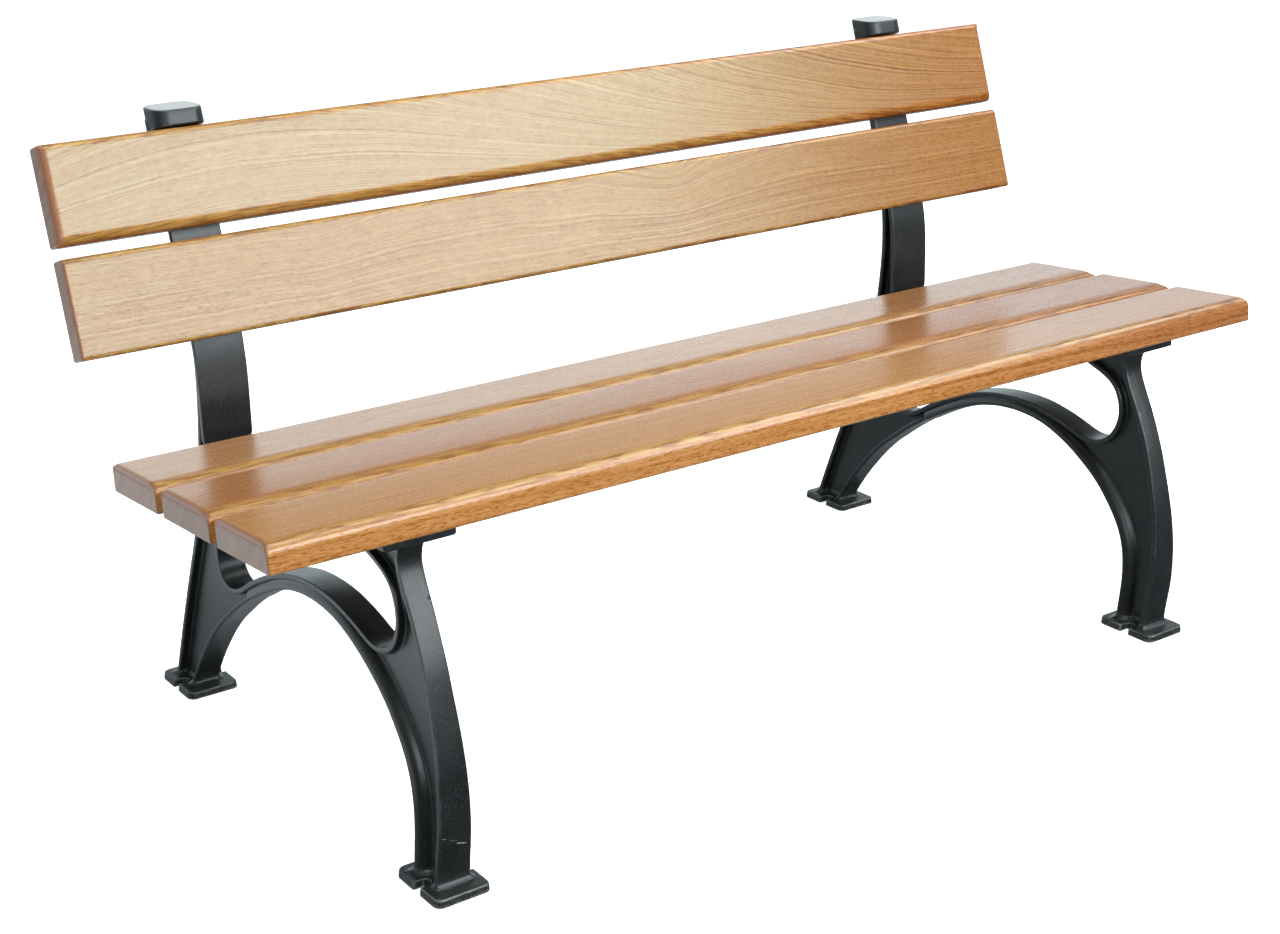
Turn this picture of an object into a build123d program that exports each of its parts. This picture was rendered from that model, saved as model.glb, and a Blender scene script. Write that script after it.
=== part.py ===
from build123d import *
import math
import os

# ---------------------------------------------------------------------------
# Garden bench: two identical cast-iron end frames, three seat slats, two back
# slats, and coach screws with washers driven from below and from behind.
# Frame of the part: +X along the bench, +Y to the back, +Z up, millimetres.
# Origin: on the ground, in the middle of the bench's footprint.
# ---------------------------------------------------------------------------

# --- slats -----------------------------------------------------------------
SLAT_LENGTH = 1500.0
SLAT_T = 34.0                 # thickness of every slat
SEAT_W = 126.0                # width of a seat slat
SEAT_GAP = 16.0               # gap between seat slats
SEAT_FRONT = (-330.3, 415.6)  # (y, z) of the seat's lower front edge
SEAT_TILT = 3.83              # degrees, the seat falls to the back
BACK_W = 121.0                # width of a back slat
BACK_GAP = 14.0               # gap between back slats
BACK_LOW = (140.8, 531.4)     # (y, z) of the back's lower front edge
BACK_LEAN = 17.66             # degrees from the vertical
ROUND_TOP = 8.0               # roundover on the show side
ROUND_NOSE = 12.0             # front edge of the front seat slat
ROUND_UNDER = 3.0             # roundover on the fixing side

# --- end frames ------------------------------------------------------------
FRAME_X = 566.4               # middle of each end frame from the middle
WEB_T = 12.0                  # web thickness
FLANGE_T = 7.0                # thickness of the flanges round the edges
ARCH_FLANGE_W = 36.0          # width of the flange under the arch
RIM_W = 36.0                  # width of the rim round the spandrel opening
REAR_FLANGE_W = 39.0          # width of the flange down the back of the leg
POST_FLANGE_W = 66.0          # width of the flange that carries the back
POST_FLANGE_T = 8.0
PLATE_W = 90.0                # seat plate
PLATE_W_REAR = 70.0
PLATE_T = 12.5
PLATE_FRONT_Y = -315.3
PLATE_TAPER_Y = (96.0, 130.0)
PLATE_REAR_Y = 168.0
HEAD_W = 65.0                 # head on top of the post
HEAD_D = 54.0
HEAD_Z = (775.5, 795.0)
HEAD_Y = 248.5                # middle of the head at the lower of these heights
HEAD_V = 258.0                # its underside slopes as the top slat does, just clear of it
HEAD_R = 19.0

# --- feet ------------------------------------------------------------------
FOOT_L = 95.0                 # along Y
FOOT_W = 70.6                 # along X
FOOT_T = 10.0
FOOT_R = 10.0
FOOT_Y = (-325.0, 325.0)      # middles of the front and the rear foot
NOTCH_W = 14.0                # open slot for a ground anchor
NOTCH_D = 18.0

# --- fasteners -------------------------------------------------------------
SCREW_D = 8.0                 # coach screw shank
SCREW_LEN = 38.0              # under the head
HEX_AF = 13.0
HEX_H = 5.5
WASHER_OD = 16.0
WASHER_T = 1.6
PILOT_D = 8.2
PILOT_DEPTH = 30.0
CLEAR_D = 9.0
SEAT_SCREW_X = 30.0           # each side of the web, seat plate
BACK_SCREW_X = 23.0           # each side of the web, post

# --- side profile of the casting, (y, z) -----------------------------------
# front face of the front leg, ground to seat plate
FRONT = [(-348.6, 5), (-349.3, 18), (-351.8, 36), (-355.1, 55), (-358.8, 80),
         (-360.2, 110), (-359.2, 140), (-355.8, 170), (-350.2, 200),
         (-342.8, 230), (-334.6, 260), (-323.8, 290), (-310.8, 320),
         (-298.1, 345), (-290.8, 362), (-288.0, 375), (-289.6, 387),
         (-294.5, 397), (-299.0, 404)]
# half width of that flange against height
FRONT_HALF = [(0, 21.6), (55, 20.8), (80, 20.1), (110, 19.4), (140, 18.5),
              (170, 17.4), (200, 16.3), (230, 15.3), (260, 14.7), (290, 14.5),
              (320, 14.6), (345, 15.0), (370, 15.2), (388, 16.0), (420, 19.0)]
# underside of the arch, front foot to rear foot
ARCH = [(-297.4, 5), (-297.8, 12), (-298.8, 25), (-301.8, 50), (-303.8, 70),
        (-303.8, 92), (-301.8, 112), (-296.3, 132), (-287.8, 150),
        (-273.8, 170), (-248.8, 198), (-218.8, 221.2), (-178.8, 243.9),
        (-138.8, 258.3), (-98.8, 263.6), (-58.8, 262.2), (-18.8, 254.8),
        (21.2, 240.9), (61.2, 222.1), (101.2, 200.4), (141.2, 175.2),
        (181.2, 146), (197.2, 134), (226.2, 107.5), (251.2, 80.5),
        (274.2, 53), (295.2, 24), (303.2, 12), (307.5, 5)]
# back of the rear leg and of the post, ground to head
REAR = [(358.0, 5), (356.2, 12), (352.2, 22), (339.2, 53), (319.7, 99),
        (304.2, 134), (282.2, 182), (255.7, 240), (234.2, 300), (218.7, 375),
        (211.2, 430), (209.2, 470), (211.2, 510), (218.2, 550), (230.2, 600),
        (243.8, 650), (256.6, 700), (266.6, 746), (272.0, 779)]
# spandrel opening between the arch and the seat rail, closed loop
OPENING = [(-218.8, 366), (-232.8, 361.5), (-247.8, 356), (-259.3, 350),
           (-268.8, 342), (-275.3, 330), (-278.8, 316), (-278.8, 304),
           (-275.8, 292.5), (-269.8, 280.5), (-260.8, 270.5), (-248.8, 262.8),
           (-235.8, 258.8), (-222.8, 258.2), (-210.8, 260.2), (-196.8, 264.6),
           (-176.8, 270.8), (-155.8, 275.8), (-133.8, 280), (-113.8, 282.2),
           (-92.8, 282.8), (-56.8, 281), (-22.8, 275.6), (17.2, 264.3),
           (57.2, 247.5), (98.2, 226.5), (120.2, 213), (140.2, 202.5),
           (159.2, 198.2), (173.7, 202), (183.7, 212), (188.2, 227),
           (187.9, 246), (185.2, 275), (182.2, 302), (176.2, 325),
           (164.2, 343), (144.2, 355), (113.2, 361.5), (71.2, 365),
           (21.2, 368.2), (-28.8, 371.2), (-78.8, 374.2), (-128.8, 376.2),
           (-168.8, 375), (-196.8, 371.5)]


def dense(pts, closed=False, per=4):
    """A smooth curve through the points, as many short steps."""
    n = len(pts)
    out = []
    spans = n if closed else n - 1
    for i in range(spans):
        p1, p2 = pts[i], pts[(i + 1) % n]
        p0 = pts[(i - 1) % n] if (closed or i > 0) else (2 * p1[0] - p2[0], 2 * p1[1] - p2[1])
        j = i + 2
        p3 = pts[j % n] if (closed or j < n) else (2 * p2[0] - p1[0], 2 * p2[1] - p1[1])
        d01 = max(math.dist(p0, p1), 1e-6) ** 0.5
        d12 = max(math.dist(p1, p2), 1e-6) ** 0.5
        d23 = max(math.dist(p2, p3), 1e-6) ** 0.5
        for k in range(per):
            t = k / per
            c = []
            for a in (0, 1):
                m1 = (p1[a] - p0[a]) / d01 - (p2[a] - p0[a]) / (d01 + d12) + (p2[a] - p1[a]) / d12
                m2 = (p2[a] - p1[a]) / d12 - (p3[a] - p1[a]) / (d12 + d23) + (p3[a] - p2[a]) / d23
                m1, m2 = m1 * d12, m2 * d12
                c.append((2 * t**3 - 3 * t**2 + 1) * p1[a] + (t**3 - 2 * t**2 + t) * m1
                         + (-2 * t**3 + 3 * t**2) * p2[a] + (t**3 - t**2) * m2)
            out.append(tuple(c))
    if not closed:
        out.append(pts[-1])
    return out


def shifted(pts, d, closed=False):
    """The curve moved sideways by d, to the left of its own direction."""
    n = len(pts)
    out = []
    for i in range(n):
        a = pts[(i - 1) % n] if (closed or i > 0) else pts[i]
        b = pts[(i + 1) % n] if (closed or i < n - 1) else pts[i]
        tx, tz = b[0] - a[0], b[1] - a[1]
        s = math.hypot(tx, tz)
        out.append((pts[i][0] - d * tz / s, pts[i][1] + d * tx / s))
    return out


def curve(pts):
    return Spline(*pts)


def profile_face(edges):
    """A flat face in the bench's side view, from edges drawn as (y, z)."""
    return Plane.YZ * make_face(edges)


def slab(face, width):
    return extrude(face, amount=width / 2, both=True)


def band(pts, thick, width):
    """A flange: the strip between a curve and the same curve moved sideways."""
    a = pts[::3] + ([pts[-1]] if (len(pts) - 1) % 3 else [])
    b = shifted(pts, thick)
    b = b[::3] + ([b[-1]] if (len(b) - 1) % 3 else [])
    return slab(profile_face([curve(a), Line(a[-1], b[-1]), curve(b[::-1]), Line(b[0], a[0])]), width)


def seat_point(v, t=0.0):
    """(y, z) at v behind the seat's lower front edge and t above its plane."""
    a = math.radians(SEAT_TILT)
    return (SEAT_FRONT[0] + v * math.cos(a) + t * math.sin(a),
            SEAT_FRONT[1] - v * math.sin(a) + t * math.cos(a))


def back_point(v, t=0.0):
    """(y, z) at v up the back from its lower front edge and t behind it."""
    a = math.radians(BACK_LEAN)
    return (BACK_LOW[0] + v * math.sin(a) + t * math.cos(a),
            BACK_LOW[1] + v * math.cos(a) - t * math.sin(a))


def seat_plane(x, v, t=0.0):
    """Plane on the seat: local x along the bench, local y to the back, z up."""
    y, z = seat_point(v, t)
    a = math.radians(SEAT_TILT)
    return Plane(origin=(x, y, z), x_dir=(1, 0, 0), z_dir=(0, math.sin(a), math.cos(a)))


def back_plane(x, v, t=0.0):
    """Plane on the back: local x along the bench, local z forwards."""
    y, z = back_point(v, t)
    a = math.radians(BACK_LEAN)
    return Plane(origin=(x, y, z), x_dir=(1, 0, 0), z_dir=(0, -math.cos(a), math.sin(a)))


front = dense(FRONT)
arch = dense(ARCH)
rear = dense(REAR)
hole = dense(OPENING, closed=True)

# The slats' fixing points: (v of the slat's middle) along seat and back.
SEAT_V = [SEAT_W / 2 + i * (SEAT_W + SEAT_GAP) for i in range(3)]
BACK_V = [BACK_W / 2 + i * (BACK_W + BACK_GAP) for i in range(2)]


def end_frame():
    """One casting, made about x = 0."""
    # post front: straight where the back slats bear, upright below them
    p_low = back_point(0, SLAT_T)
    p_top = back_point(2 * BACK_W + BACK_GAP + 6.0, SLAT_T)
    post_front = [(164.9, 372.0), (164.9, 420.0), (165.3, 462.0), (167.6, 492.0), p_low]
    post = dense(post_front)
    post_pts = post + [p_top]

    # web: inside the flanges' outer faces everywhere
    w_front = shifted(front, -3.0)
    w_arch = shifted(arch, 3.0)
    w_rear = shifted(rear, 3.0)
    w_post = shifted(post, -3.0)
    pt = shifted([p_low, p_top], -3.0)
    sp = seat_point(-(SEAT_FRONT[0] + 291.0), -PLATE_T / 2)
    outline = [
        Spline(*w_front[::3], w_front[-1]) if (len(w_front) - 1) % 3 else Spline(*w_front[::3]),
        Line(w_front[-1], sp),
        Line(sp, w_post[0]),
        Spline(*w_post[::2], w_post[-1]) if (len(w_post) - 1) % 2 else Spline(*w_post[::2]),
        Line(w_post[-1], pt[1]),
        Line(pt[1], w_rear[-1]),
        Spline(*w_rear[::-3], w_rear[0]) if (len(w_rear) - 1) % 3 else Spline(*w_rear[::-3]),
        Line(w_rear[0], w_arch[-1]),
        Spline(*w_arch[::-3], w_arch[0]) if (len(w_arch) - 1) % 3 else Spline(*w_arch[::-3]),
        Line(w_arch[0], w_front[0]),
    ]
    web = slab(profile_face(outline), WEB_T)

    # rim of the opening, and the opening itself
    outer = shifted(hole, -FLANGE_T, closed=True)
    rim = slab(profile_face([Spline(*outer[::3], periodic=True)]), RIM_W)
    gap = slab(profile_face([Spline(*hole[::3], periodic=True)]), 200.0)

    # flanges along the arch, the front leg, the rear leg and the post
    arch_flange = band(arch, FLANGE_T, ARCH_FLANGE_W)
    half = dense(FRONT_HALF)
    side = [(h, z) for z, h in half]
    other = [(-h, z) for z, h in half]
    taper_face = Plane.XZ * make_face([
        Spline(*side[::4], side[-1]) if (len(side) - 1) % 4 else Spline(*side[::4]),
        Line(side[-1], other[-1]),
        Spline(*other[::-4], other[0]) if (len(other) - 1) % 4 else Spline(*other[::-4]),
        Line(other[0], side[0]),
    ])
    front_flange = band(front, -(FLANGE_T + 1), 60.0) & extrude(taper_face, amount=600, both=True)
    rear_flange = band(rear, FLANGE_T + 1, REAR_FLANGE_W)
    post_low = band(post, -POST_FLANGE_T, POST_FLANGE_W)
    q = shifted([p_low, p_top], -POST_FLANGE_T)
    post_high = slab(profile_face([Line(p_low, p_top), Line(p_top, q[1]), Line(q[1], q[0]), Line(q[0], p_low)]),
                     POST_FLANGE_W)

    # seat plate, narrower behind the rear slat, let into the post's flange
    a = math.cos(math.radians(SEAT_TILT))
    v0 = (PLATE_FRONT_Y - SEAT_FRONT[0]) / a
    v1 = (PLATE_TAPER_Y[0] - SEAT_FRONT[0]) / a
    v2 = (PLATE_TAPER_Y[1] - SEAT_FRONT[0]) / a
    v3 = (PLATE_REAR_Y - SEAT_FRONT[0]) / a
    w, r = PLATE_W / 2, PLATE_W_REAR / 2
    plan = make_face(Polyline((-w, v0), (w, v0), (w, v1), (r, v2), (r, v3), (-r, v3), (-r, v2), (-w, v1), close=True))
    plan = fillet(plan.vertices().sort_by(Axis.Y)[:2], 6.0)
    plate = extrude(seat_plane(0, 0, -PLATE_T) * plan, amount=PLATE_T)

    # head on the post: a level-topped cap that leans as the post does
    lean = math.tan(math.radians(BACK_LEAN))
    low = Pos(0, HEAD_Y - lean * 25.0, HEAD_Z[0] - 25.0) * RectangleRounded(HEAD_W, HEAD_D, HEAD_R)
    high = Pos(0, HEAD_Y + lean * (HEAD_Z[1] - HEAD_Z[0]), HEAD_Z[1]) * RectangleRounded(HEAD_W, HEAD_D, HEAD_R)
    head = loft([low, high]) - back_plane(0, HEAD_V - 60.0, 0) * Box(200, 120, 200)
    neck_low = Pos(0, 255.0, HEAD_Z[0] - 33.5) * RectangleRounded(REAR_FLANGE_W, 22.0, 4.0)
    neck_high = Pos(0, 262.0, HEAD_Z[0] + 4.0) * RectangleRounded(REAR_FLANGE_W, 20.0, 4.0)
    neck = loft([neck_low, neck_high])

    # feet with an open anchor slot on each side
    feet = []
    for y in FOOT_Y:
        pad = extrude(Pos(0, y, 0) * RectangleRounded(FOOT_W, FOOT_L, FOOT_R), amount=FOOT_T, taper=5)
        for s in (-1, 1):
            end = s * (FOOT_W / 2 - NOTCH_D + NOTCH_W / 2)
            cut = Pos(end, y, -1) * Cylinder(NOTCH_W / 2, FOOT_T + 2, align=(Align.CENTER, Align.CENTER, Align.MIN))
            cut += Pos(end + s * 20, y, -1) * Box(40, NOTCH_W, FOOT_T + 2, align=(Align.CENTER, Align.CENTER, Align.MIN))
            pad -= cut
        feet.append(pad)

    body = web + rim
    body = body - gap
    for piece in (arch_flange, front_flange, rear_flange, post_low, post_high, plate, neck, head, *feet):
        body = body + piece
    # nothing stands proud of the ground or of the slats' bearing faces
    body -= Pos(0, 0, -50) * Box(400, 1200, 100)
    top = seat_plane(0, 0)
    body -= top * Pos(0, 170, 40) * Box(400, 480, 80)
    face_plane = back_plane(0, 0, SLAT_T)
    body -= face_plane * Pos(0, 125, 40) * Box(400, 262, 80)

    # clearance holes for the coach screws
    for v in SEAT_V:
        for s in (-1, 1):
            body -= seat_plane(s * SEAT_SCREW_X, v, -PLATE_T / 2) * Cylinder(CLEAR_D / 2, 3 * PLATE_T)
    for v in BACK_V:
        for s in (-1, 1):
            body -= back_plane(s * BACK_SCREW_X, v, SLAT_T + POST_FLANGE_T / 2) * Cylinder(CLEAR_D / 2, 16.0)
    return body


def seat_slat(i):
    """Slat i of the seat, counted from the front."""
    v = SEAT_V[i]
    body = Box(SLAT_LENGTH, SEAT_W, SLAT_T, align=(Align.CENTER, Align.CENTER, Align.MIN))
    up = body.edges().group_by(Axis.Z)[-1]
    nose = up.sort_by(Axis.Y)[0:1] if i == 0 else None
    if nose:
        body = fillet(nose, ROUND_NOSE)
        up = body.edges().filter_by(lambda e: abs(e.center().Z - SLAT_T) < 0.01 and e.geom_type == GeomType.LINE)
        up = up.sort_by(Axis.Y)[1:]
    body = fillet(up.filter_by(Axis.X), ROUND_TOP)
    under = body.edges().group_by(Axis.Z)[0].filter_by(Axis.X)
    body = fillet(under, ROUND_UNDER)
    body = seat_plane(0, v) * body
    for fx in (-FRAME_X, FRAME_X):
        for s in (-1, 1):
            body -= seat_plane(fx + s * SEAT_SCREW_X, v, PILOT_DEPTH / 2 - 1) * Cylinder(PILOT_D / 2, PILOT_DEPTH + 2)
    return body


def back_slat(i):
    """Slat i of the back, counted from below."""
    v = BACK_V[i]
    body = Box(SLAT_LENGTH, BACK_W, SLAT_T, align=(Align.CENTER, Align.CENTER, Align.MIN))
    body = fillet(body.edges().group_by(Axis.Z)[-1].filter_by(Axis.X), ROUND_TOP)
    body = fillet(body.edges().group_by(Axis.Z)[0].filter_by(Axis.X), ROUND_UNDER)
    body = back_plane(0, v, SLAT_T) * body
    for fx in (-FRAME_X, FRAME_X):
        for s in (-1, 1):
            body -= back_plane(fx + s * BACK_SCREW_X, v, SLAT_T - PILOT_DEPTH / 2 + 1) * Cylinder(PILOT_D / 2, PILOT_DEPTH + 2)
    return body


def coach_screw():
    """Hex-head coach screw along +Z: the head's bearing face is at z = 0."""
    head = extrude(RegularPolygon(HEX_AF / 2, 6, major_radius=False), amount=-HEX_H)
    crown = Pos(0, 0, -HEX_H) * Cone(HEX_AF * 0.53, HEX_AF * 0.53 + HEX_H, HEX_H, align=(Align.CENTER, Align.CENTER, Align.MIN))
    head = head & crown
    shank = Cylinder(SCREW_D / 2, SCREW_LEN - 6.0, align=(Align.CENTER, Align.CENTER, Align.MIN))
    tip = Pos(0, 0, SCREW_LEN - 6.0) * Cone(SCREW_D / 2, 1.0, 6.0, align=(Align.CENTER, Align.CENTER, Align.MIN))
    return head + shank + tip


def washer():
    """Flat washer standing on z = 0."""
    ring = Cylinder(WASHER_OD / 2, WASHER_T, align=(Align.CENTER, Align.CENTER, Align.MIN))
    return ring - Cylinder(CLEAR_D / 2, 3 * WASHER_T)


def fixings(piece, planes):
    return Compound(children=[p * piece for p in planes])


os.makedirs("parts", exist_ok=True)

casting = end_frame()
print("casting", casting.is_valid, len(casting.solids()), round(casting.volume))
export_step(Pos(-FRAME_X, 0, 0) * casting, "parts/left_end_frame.step")
export_step(Pos(FRAME_X, 0, 0) * casting, "parts/right_end_frame.step")

for i, name in enumerate(("front", "middle", "rear")):
    export_step(seat_slat(i), f"parts/seat_slat_{name}.step")
for i, name in enumerate(("lower", "upper")):
    export_step(back_slat(i), f"parts/back_slat_{name}.step")

screw, ring = coach_screw(), washer()
for side, fx in (("left", -FRAME_X), ("right", FRAME_X)):
    for i, name in enumerate(("front", "middle", "rear")):
        spots = [fx - SEAT_SCREW_X, fx + SEAT_SCREW_X]
        export_step(fixings(ring, [seat_plane(x, SEAT_V[i], -PLATE_T - WASHER_T) for x in spots]),
                    f"parts/seat_{name}_{side}_washers.step")
        export_step(fixings(screw, [seat_plane(x, SEAT_V[i], -PLATE_T - WASHER_T) for x in spots]),
                    f"parts/seat_{name}_{side}_screws.step")
    for i, name in enumerate(("lower", "upper")):
        spots = [fx - BACK_SCREW_X, fx + BACK_SCREW_X]
        behind = SLAT_T + POST_FLANGE_T + WASHER_T
        export_step(fixings(ring, [back_plane(x, BACK_V[i], behind) for x in spots]),
                    f"parts/back_{name}_{side}_washers.step")
        export_step(fixings(screw, [back_plane(x, BACK_V[i], behind) for x in spots]),
                    f"parts/back_{name}_{side}_screws.step")
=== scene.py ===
import math

import bpy
import numpy as np
from mathutils import Matrix, Vector, noise


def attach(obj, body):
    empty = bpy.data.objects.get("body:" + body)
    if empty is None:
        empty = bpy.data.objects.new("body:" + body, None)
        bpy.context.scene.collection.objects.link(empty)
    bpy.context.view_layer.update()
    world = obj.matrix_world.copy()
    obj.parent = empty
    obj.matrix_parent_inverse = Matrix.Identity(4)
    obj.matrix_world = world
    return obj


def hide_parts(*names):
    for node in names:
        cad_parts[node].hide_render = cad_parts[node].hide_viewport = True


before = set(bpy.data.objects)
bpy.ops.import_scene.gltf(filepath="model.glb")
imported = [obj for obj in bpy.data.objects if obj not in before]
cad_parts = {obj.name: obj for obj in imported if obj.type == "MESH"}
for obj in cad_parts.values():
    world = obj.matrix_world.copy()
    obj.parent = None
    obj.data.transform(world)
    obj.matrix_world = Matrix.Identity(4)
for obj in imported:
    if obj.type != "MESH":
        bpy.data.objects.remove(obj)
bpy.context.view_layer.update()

MM = 0.001

# ---------------------------------------------------------------------------
# Sizes, in millimetres, as in the construction
# ---------------------------------------------------------------------------
SLAT_LENGTH = 1500.0
SLAT_T = 34.0
SEAT_W, SEAT_GAP, SEAT_FRONT, SEAT_TILT = 126.0, 16.0, (-330.3, 415.6), math.radians(3.83)
BACK_W, BACK_GAP, BACK_LOW, BACK_LEAN = 121.0, 14.0, (140.8, 531.4), math.radians(17.66)
FRAME_X = 566.4

FRONT = [(-348.6, 5), (-349.3, 18), (-351.8, 36), (-355.1, 55), (-358.8, 80),
         (-360.2, 110), (-359.2, 140), (-355.8, 170), (-350.2, 200),
         (-342.8, 230), (-334.6, 260), (-323.8, 290), (-310.8, 320),
         (-298.1, 345), (-290.8, 362), (-288.0, 375), (-289.6, 387),
         (-294.5, 397), (-299.0, 404)]
FRONT_HALF = [(0, 21.6), (55, 20.8), (80, 20.1), (110, 19.4), (140, 18.5),
              (170, 17.4), (200, 16.3), (230, 15.3), (260, 14.7), (290, 14.5),
              (320, 14.6), (345, 15.0), (370, 15.2), (388, 16.0), (420, 19.0)]
ARCH = [(-297.4, 5), (-297.8, 12), (-298.8, 25), (-301.8, 50), (-303.8, 70),
        (-303.8, 92), (-301.8, 112), (-296.3, 132), (-287.8, 150),
        (-273.8, 170), (-248.8, 198), (-218.8, 221.2), (-178.8, 243.9),
        (-138.8, 258.3), (-98.8, 263.6), (-58.8, 262.2), (-18.8, 254.8),
        (21.2, 240.9), (61.2, 222.1), (101.2, 200.4), (141.2, 175.2),
        (181.2, 146), (197.2, 134), (226.2, 107.5), (251.2, 80.5),
        (274.2, 53), (295.2, 24), (303.2, 12), (307.5, 5)]
REAR = [(358.0, 5), (356.2, 12), (352.2, 22), (339.2, 53), (319.7, 99),
        (304.2, 134), (282.2, 182), (255.7, 240), (234.2, 300), (218.7, 375),
        (211.2, 430), (209.2, 470), (211.2, 510), (218.2, 550), (230.2, 600),
        (243.8, 650), (256.6, 700), (266.6, 746), (272.0, 779)]
OPENING = [(-218.8, 366), (-232.8, 361.5), (-247.8, 356), (-259.3, 350),
           (-268.8, 342), (-275.3, 330), (-278.8, 316), (-278.8, 304),
           (-275.8, 292.5), (-269.8, 280.5), (-260.8, 270.5), (-248.8, 262.8),
           (-235.8, 258.8), (-222.8, 258.2), (-210.8, 260.2), (-196.8, 264.6),
           (-176.8, 270.8), (-155.8, 275.8), (-133.8, 280), (-113.8, 282.2),
           (-92.8, 282.8), (-56.8, 281), (-22.8, 275.6), (17.2, 264.3),
           (57.2, 247.5), (98.2, 226.5), (120.2, 213), (140.2, 202.5),
           (159.2, 198.2), (173.7, 202), (183.7, 212), (188.2, 227),
           (187.9, 246), (185.2, 275), (182.2, 302), (176.2, 325),
           (164.2, 343), (144.2, 355), (113.2, 361.5), (71.2, 365),
           (21.2, 368.2), (-28.8, 371.2), (-78.8, 374.2), (-128.8, 376.2),
           (-168.8, 375), (-196.8, 371.5)]


def seat_point(v, t=0.0):
    return (SEAT_FRONT[0] + v * math.cos(SEAT_TILT) + t * math.sin(SEAT_TILT),
            SEAT_FRONT[1] - v * math.sin(SEAT_TILT) + t * math.cos(SEAT_TILT))


def back_point(v, t=0.0):
    return (BACK_LOW[0] + v * math.sin(BACK_LEAN) + t * math.cos(BACK_LEAN),
            BACK_LOW[1] + v * math.cos(BACK_LEAN) - t * math.sin(BACK_LEAN))


# ---------------------------------------------------------------------------
# The casting: one closed surface with cast fillets, beads and grooves
# ---------------------------------------------------------------------------
def smooth_curve(pts, closed=False, step=1.2, sigma=5.0):
    """Even steps along a smooth curve through the points."""
    n = len(pts)
    out = []
    for i in range(n if closed else n - 1):
        p1, p2 = np.array(pts[i], float), np.array(pts[(i + 1) % n], float)
        p0 = np.array(pts[(i - 1) % n], float) if (closed or i > 0) else 2 * p1 - p2
        p3 = np.array(pts[(i + 2) % n], float) if (closed or i + 2 < n) else 2 * p2 - p1
        d01, d12, d23 = (max(np.linalg.norm(b - a), 1e-6) ** 0.5 for a, b in ((p0, p1), (p1, p2), (p2, p3)))
        m1 = ((p1 - p0) / d01 - (p2 - p0) / (d01 + d12) + (p2 - p1) / d12) * d12
        m2 = ((p2 - p1) / d12 - (p3 - p1) / (d12 + d23) + (p3 - p2) / d23) * d12
        for t in np.linspace(0, 1, 24, endpoint=False):
            out.append((2 * t**3 - 3 * t**2 + 1) * p1 + (t**3 - 2 * t**2 + t) * m1
                       + (-2 * t**3 + 3 * t**2) * p2 + (t**3 - t**2) * m2)
    out.append(out[0] if closed else np.array(pts[-1], float))
    out = np.array(out)
    s = np.r_[0, np.cumsum(np.hypot(*np.diff(out, axis=0).T))]
    m = max(int(round(s[-1] / step)), 8)
    q = np.linspace(0, s[-1], m + 1)
    p = np.c_[np.interp(q, s, out[:, 0]), np.interp(q, s, out[:, 1])]
    k = int(3 * sigma / step)
    w = np.exp(-0.5 * (np.arange(-k, k + 1) * step / sigma) ** 2)
    w /= w.sum()
    if closed:
        p = p[:-1]
        pad = np.r_[p[-k:], p, p[:k]]
    else:
        pad = np.r_[2 * p[0] - p[k:0:-1], p, 2 * p[-1] - p[-2:-k - 2:-1]]
    return np.c_[np.convolve(pad[:, 0], w, "valid"), np.convolve(pad[:, 1], w, "valid")]


def round_union(a, b, r):
    return np.maximum(r, np.minimum(a, b)) - np.hypot(np.maximum(r - a, 0), np.maximum(r - b, 0))


def round_cut(a, b, r):
    return np.minimum(-r, np.maximum(a, b)) + np.hypot(np.maximum(r + a, 0), np.maximum(r + b, 0))


def round_bar(u, w, r):
    """A bar with rounded edges from its two signed half-space distances."""
    u, w = u + r, w + r
    return np.minimum(np.maximum(u, w), 0) + np.hypot(np.maximum(u, 0), np.maximum(w, 0)) - r


def round_rect(px, py, hx, hy, r):
    u, w = np.abs(px) - (hx - r), np.abs(py) - (hy - r)
    return np.minimum(np.maximum(u, w), 0) + np.hypot(np.maximum(u, 0), np.maximum(w, 0)) - r


def step01(e0, e1, v):
    t = np.clip((v - e0) / (e1 - e0), 0, 1)
    return t * t * (3 - 2 * t)


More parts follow.
